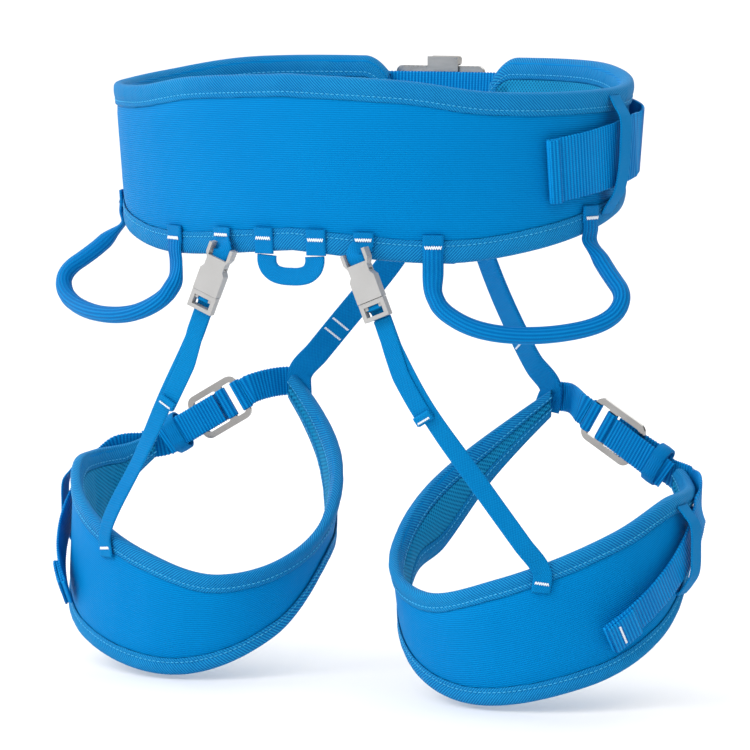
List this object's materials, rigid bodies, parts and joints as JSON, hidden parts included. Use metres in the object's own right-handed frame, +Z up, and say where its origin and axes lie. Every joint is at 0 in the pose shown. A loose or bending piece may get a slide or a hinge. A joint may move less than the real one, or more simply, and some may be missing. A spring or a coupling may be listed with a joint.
{
  "type": "climbing harness",
  "caption": "Blue sit harness: padded waist belt and leg loops with buckles, elastic risers, gear loops, haul loop and belay loop.",
  "frame": {"origin": "on the waist's axis, at the height of the middle of the waist pad", "axes": "+X to the wearer's right, +Y the way the wearer faces, +Z up"},
  "size_m": [0.4312, 0.247, 0.374],
  "materials": {
    "shell_fabric": "ribbed woven shell over foam",
    "mesh_lining": "spacer mesh",
    "binding_tape": "herringbone tape",
    "webbing": "ribbed polyamide webbing",
    "elastic_webbing": "elastic webbing",
    "gear_loop_cover": "woven sleeve over a flexible core",
    "buckle_plastic": "light grey moulded acetal",
    "buckle_alloy": "satin",
    "polished_steel": "polished steel"
  },
  "bodies": {
    "belt": {"waist_shell": "shell_fabric", "waist_lining": "mesh_lining", "waist_binding_top": "binding_tape", "waist_binding_bottom": "binding_tape", "waist_end_bindings": "binding_tape", "waist_webbing": "webbing", "waist_strap_run": "webbing", "waist_keeper_loop": "elastic_webbing", "waist_buckle_frame": "buckle_alloy", "upper_tie_in_loop": "webbing", "leg_bridge": "webbing", "gear_loop_tabs": "webbing", "haul_loop_tabs": "webbing", "riser_tabs": "webbing", "riser_buckle_socket_left": "buckle_plastic", "riser_buckle_socket_right": "buckle_plastic"},
    "waist_tail": {"waist_strap_tail": "webbing"},
    "slider": {"waist_buckle_slider": "buckle_alloy"},
    "belay": {"belay_loop": "webbing"},
    "haul": {"haul_loop": "webbing"},
    "gear_right": {"gear_loop_right": "gear_loop_cover", "gear_loop_sleeves_right": "webbing"},
    "clip_right": {"riser_buckle_plug_right": "buckle_plastic", "riser_end_loop_right": "elastic_webbing"},
    "leg_right": {"leg_shell_right": "shell_fabric", "leg_lining_right": "mesh_lining", "leg_binding_top_right": "binding_tape", "leg_binding_bottom_right": "binding_tape", "leg_front_strap_right": "webbing", "leg_buckle_strap_right": "webbing", "leg_buckle_frame_right": "polished_steel", "leg_strap_right": "webbing", "leg_strap_return_right": "webbing", "leg_strap_lead_right": "webbing", "leg_end_sleeve_right": "webbing", "leg_keeper_loop_right": "elastic_webbing", "riser_strap_right": "elastic_webbing"},
    "leg_tail_right": {"leg_strap_tail_right": "webbing"},
    "gear_left": {"gear_loop_left": "gear_loop_cover", "gear_loop_sleeves_left": "webbing"},
    "clip_left": {"riser_buckle_plug_left": "buckle_plastic", "riser_end_loop_left": "elastic_webbing"},
    "leg_left": {"leg_shell_left": "shell_fabric", "leg_lining_left": "mesh_lining", "leg_binding_top_left": "binding_tape", "leg_binding_bottom_left": "binding_tape", "leg_front_strap_left": "webbing", "leg_buckle_strap_left": "webbing", "leg_buckle_frame_left": "polished_steel", "leg_strap_left": "webbing", "leg_strap_return_left": "webbing", "leg_strap_lead_left": "webbing", "leg_end_sleeve_left": "webbing", "leg_keeper_loop_left": "elastic_webbing", "riser_strap_left": "elastic_webbing"},
    "leg_tail_left": {"leg_strap_tail_left": "webbing"}
  },
  "joints": [
    {"name": "waist_tail_slide", "type": "hinge", "parent": "belt", "child": "waist_tail", "pos_m": [0.06474, 0.01055, 0.00855], "axis": [-0.0159, 0.2, -0.9797], "range_deg": [-6, 6], "deforming": ["waist_strap_run"]},
    {"name": "waist_slider_slide", "type": "slide", "parent": "belt", "child": "slider", "axis": [1, 0, 0], "range_m": [-0.004, 0.006]},
    {"name": "belay_loop_swing", "type": "hinge", "parent": "belt", "child": "belay", "pos_m": [0, 0.114, -0.0465], "axis": [0, 0, 1], "range_deg": [-12, 12]},
    {"name": "haul_loop_swing", "type": "hinge", "parent": "belt", "child": "haul", "pos_m": [0, -0.1082, -0.0572], "axis": [-1, 0, 0], "range_deg": [-10, 80]},
    {"name": "gear_loop_bend_right", "type": "hinge", "parent": "belt", "child": "gear_right", "pos_m": [0.1196, -0.06053, -0.0564], "axis": [-0.7297, -0.6638, -0.164], "range_deg": [-5, 30], "stiffness_Nm_per_rad": 0.25},
    {"name": "riser_clip_release_right", "type": "slide", "parent": "belt", "child": "clip_right", "axis": [0.38, 0, -0.925], "range_m": [0, 0.018]},
    {"name": "leg_loop_swing_right", "type": "hinge", "parent": "belt", "child": "leg_right", "pos_m": [0, 0.117, -0.052], "axis": [1, 0, 0], "range_deg": [-8, 18], "stiffness_Nm_per_rad": 4, "springref_deg": -1.72, "deforming": ["riser_strap_right"]},
    {"name": "leg_tail_slide_right", "type": "hinge", "parent": "leg_right", "child": "leg_tail_right", "pos_m": [0.08264, 0.01058, -0.23571], "axis": [0.0813, 0.606, -0.7913], "range_deg": [-6, 0], "deforming": ["leg_strap_lead_right"]},
    {"name": "gear_loop_bend_left", "type": "hinge", "parent": "belt", "child": "gear_left", "pos_m": [-0.1196, -0.06053, -0.0564], "axis": [-0.7297, 0.6638, 0.164], "range_deg": [-5, 30], "stiffness_Nm_per_rad": 0.25},
    {"name": "riser_clip_release_left", "type": "slide", "parent": "belt", "child": "clip_left", "axis": [-0.38, 0, -0.925], "range_m": [0, 0.018]},
    {"name": "leg_loop_swing_left", "type": "hinge", "parent": "belt", "child": "leg_left", "pos_m": [0, 0.117, -0.052], "axis": [1, 0, 0], "range_deg": [-8, 18], "stiffness_Nm_per_rad": 4, "springref_deg": -1.72, "deforming": ["riser_strap_left"]},
    {"name": "leg_tail_slide_left", "type": "hinge", "parent": "leg_left", "child": "leg_tail_left", "pos_m": [-0.08264, 0.01058, -0.23571], "axis": [0.0813, -0.606, 0.7913], "range_deg": [-6, 0], "deforming": ["leg_strap_lead_left"]}
  ]
}
